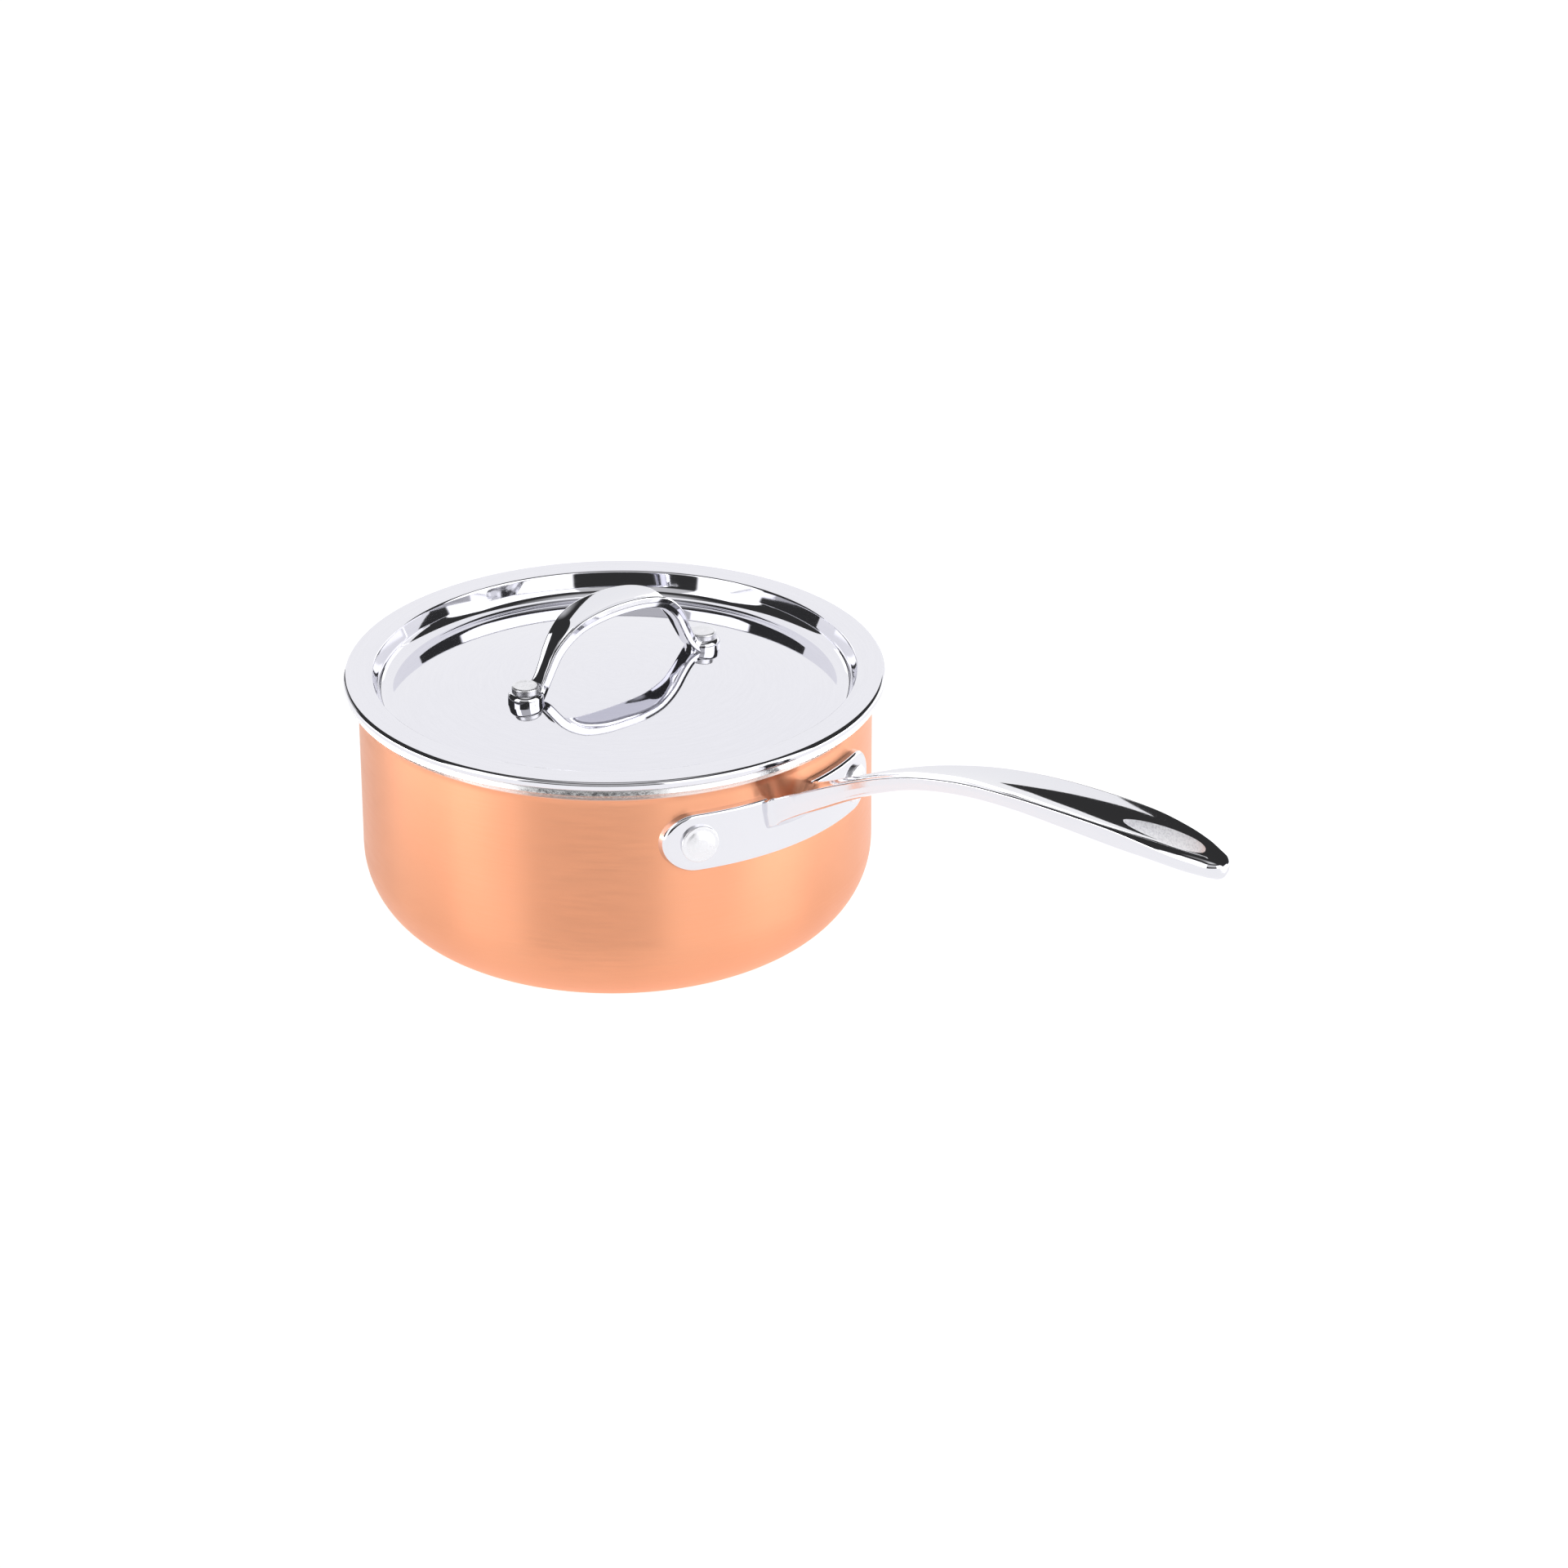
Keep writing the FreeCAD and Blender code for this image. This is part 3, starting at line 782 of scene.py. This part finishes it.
SLOT_STATIONS = [           # reach, half width
    (257.0, 0.3),
    (258.4, 1.5),
    (263.0, 3.1),
    (271.0, 4.4),
    (280.0, 4.6),
    (287.5, 3.9),
    (291.6, 2.3),
    (293.0, 0.6),
]


def wrapped(sideways, height, radius):
    return (math.sqrt(radius ** 2 - sideways ** 2), sideways, PLATE_MIDDLE + height)


def plate_ring(inset, radius):
    """Ring of the round-ended plate's outline, moved in by inset and wrapped at radius."""
    straight = PLATE_REACH - PLATE_HALF
    half = PLATE_HALF - inset
    ring = []
    for side in (1, -1):
        for step in range(PLATE_STEPS):
            ring.append((side * straight * (2 * step / PLATE_STEPS - 1), -side * half))
        for step in range(PLATE_STEPS):
            turn = math.pi * step / PLATE_STEPS
            ring.append((side * (straight + half * math.sin(turn)), -side * half * math.cos(turn)))
    return [wrapped(sideways, height, radius) for sideways, height in ring]


def plate_skin():
    front = WALL_RADIUS + PLATE_GAUGE
    rings = [plate_ring(PLATE_HALF, WALL_RADIUS), plate_ring(0.0, WALL_RADIUS)]
    rings += [plate_ring(0.0, WALL_RADIUS + lift) for lift in (0.3, PLATE_GAUGE - PLATE_EDGE - 0.25)]
    for step in range(9):
        turn = math.radians(90 * step / 8)
        inset = PLATE_EDGE * (1 - math.cos(turn))
        rings.append(plate_ring(inset, front - PLATE_EDGE * (1 - math.sin(turn))))
    rings += [plate_ring(inset, front) for inset in (PLATE_EDGE + 0.25, 3.2, 5.6, 8.0, PLATE_HALF)]
    return skin("plate", rings)


def stem_skin():
    """The stem through its stations; its sides lean in and swell less where they are low."""
    rings = []
    for reach, top, width, depth, hollow, edge in smooth_rows(STEM_STATIONS, 700, 8):
        half = width / 2
        low_edge = min(edge + 0.7, half * 0.6, depth - edge - 0.2)
        straight = depth - edge - low_edge
        ring = strap_ring(half, 0.0, -depth, hollow, STEM_BELLY, edge, low_edge,
                          min(STEM_TAPER, straight * 0.16), min(STEM_RIDGE, straight * 0.05))
        rings.append([(reach, sideways, top + height) for sideways, height in ring])
    return skin("stem", rings)


def root_trough():
    """What the plate loses where the stem's hollow runs on through it to the wall."""
    reach, top, width, depth, hollow, edge = STEM_STATIONS[0]
    ring = strap_ring(width / 2, 0.0, -depth, hollow, STEM_BELLY, edge, edge, STEM_TAPER, STEM_RIDGE)
    half = [(sideways, top + height) for sideways, height in ring[:FACE_STEPS + 2]]
    outline = [(-sideways, height) for sideways, height in half[:0:-1]] + half
    outline += [(half[-1][0], top + 20.0), (-half[-1][0], top + 20.0)]
    return skin("trough", [[(x, sideways, height) for sideways, height in outline] for x in (80.0, 98.0)])


def slot_skin():
    """Drop-shaped hole through the stem, sharper towards the pan."""
    side = smooth_rows(SLOT_STATIONS, 60, 2)
    outline = side + [(reach, -half) for reach, half in side[::-1]]
    return skin("slot", [[(reach, half, height) for reach, half in outline] for height in (100.0, 150.0)])


def drum_skin(radius, low, high):
    """Solid drum about +Z, for cutting."""
    turns = [2 * math.pi * step / SPIN for step in range(SPIN)]
    return skin("drum", [[(radius * math.cos(turn), radius * math.sin(turn), height) for turn in turns]
                         for height in (low, high)])


def add_long_handle(material):
    mesh = shaped(plate_skin(), [
        ("DIFFERENCE", root_trough()),
        ("UNION", stem_skin()),
        ("DIFFERENCE", drum_skin(WALL_RADIUS, 30.0, 150.0)),
        ("DIFFERENCE", slot_skin()),
    ])
    piece = finish_mesh("long_handle_casting", mesh, material, 48.0)
    stand_for(piece, "long_handle")


ARCH_STATIONS = [           # reach, mid height over the border, half width, half depth, hollow, edge
    (39.6, -1.07, 6.4, 2.3, 0.0, 2.0),
    (38.2, -1.05, 6.35, 2.3, 0.0, 2.0),
    (37.0, -0.95, 5.9, 2.25, 0.05, 1.8),
    (35.3, -0.45, 4.8, 2.0, 0.15, 1.2),
    (33.6, 1.0, 3.9, 1.8, 0.35, 0.8),
    (31.8, 3.6, 3.5, 1.75, 0.50, 0.6),
    (29.4, 8.4, 3.7, 1.80, 0.65, 0.6),
    (26.8, 13.6, 4.3, 1.90, 0.85, 0.6),
    (23.0, 18.3, 5.3, 2.00, 1.00, 0.6),
    (17.8, 22.2, 6.3, 2.10, 1.15, 0.6),
    (9.8, 24.6, 7.1, 2.20, 1.25, 0.6),
    (0.0, 25.3, 7.2, 2.25, 1.30, 0.6),
]
ARCH_LOW_EDGE = 0.6
ARCH_RIDGE = 0.15
LUG_EDGE = 2.0


def lug_skin(side):
    """Round pad with a full edge, from inside the lid's sheet up to the rivet's seat."""
    edge = arc_points((LUG_RADIUS - LUG_EDGE, LUG_TOP - LUG_EDGE), LUG_EDGE, 90, 0, EDGE_STEPS)
    turns = [2 * math.pi * step / SMALL_SPIN for step in range(SMALL_SPIN)]
    rings = []
    for radius, height in [(0.4, LUG_TOP)] + edge + [(LUG_RADIUS, LUG_TOP - LUG_HEIGHT - 0.3)]:
        rings.append([(side * LID_RIVET_REACH + radius * math.cos(turn), radius * math.sin(turn), height)
                      for turn in turns])
    return skin("lug", rings)


def add_lid_handle(material):
    """Strap arch that flows into a round pad at each foot and rests on the domed floor."""
    far = [(-row[0],) + row[1:] for row in ARCH_STATIONS[-2::-1]]
    rows = smooth_rows(ARCH_STATIONS + far, 260, 4)
    rings = []
    for index, (reach, height, half, depth, hollow, edge) in enumerate(rows):
        before = rows[max(index - 1, 0)]
        after = rows[min(index + 1, len(rows) - 1)]
        along = Vector((after[0] - before[0], after[1] - before[1])).normalized()
        ring = strap_ring(half, depth, -depth, hollow, hollow * 0.9, edge, ARCH_LOW_EDGE, 0.0, ARCH_RIDGE)
        rings.append([(reach + lift * along[1], sideways, LID_TOP + height - lift * along[0])
                      for sideways, lift in ring])
    mesh = shaped(skin("strap", rings), [("UNION", lug_skin(side)) for side in (-1, 1)])
    mesh.transform(Matrix.Rotation(math.radians(90 + LID_TURN), 4, "Z"))
    for vertex in mesh.vertices:
        radius = math.hypot(vertex.co.x, vertex.co.y) / MM
        vertex.co.z = max(vertex.co.z, dome_point(radius, DOME_RADIUS)[1] * MM)
    piece = finish_mesh("lid_handle_casting", mesh, material, 50.0)
    stand_for(piece, "lid_handle")


def add_handles():
    material = cast_steel()
    add_long_handle(material)
    add_lid_handle(material)


# ---------------------------------------------------------------- stage

FLOOR_HALF = 9.0            # metres


def add_floor():
    shape = bmesh.new()
    bmesh.ops.create_grid(shape, x_segments=8, y_segments=8, size=FLOOR_HALF)
    mesh = bpy.data.meshes.new("floor")
    shape.to_mesh(mesh)
    shape.free()
    mesh.materials.append(pale_floor())
    floor = bpy.data.objects.new("floor", mesh)
    bpy.context.collection.objects.link(floor)


def corners(bounds):
    return [[float(number) for number in corner] for corner in bounds]


add_camera()
add_studio()
add_cards()
add_floor()
add_pan()
add_lid()
add_rivets()
add_handles()
bpy.context.scene.view_settings.view_transform = "Standard"
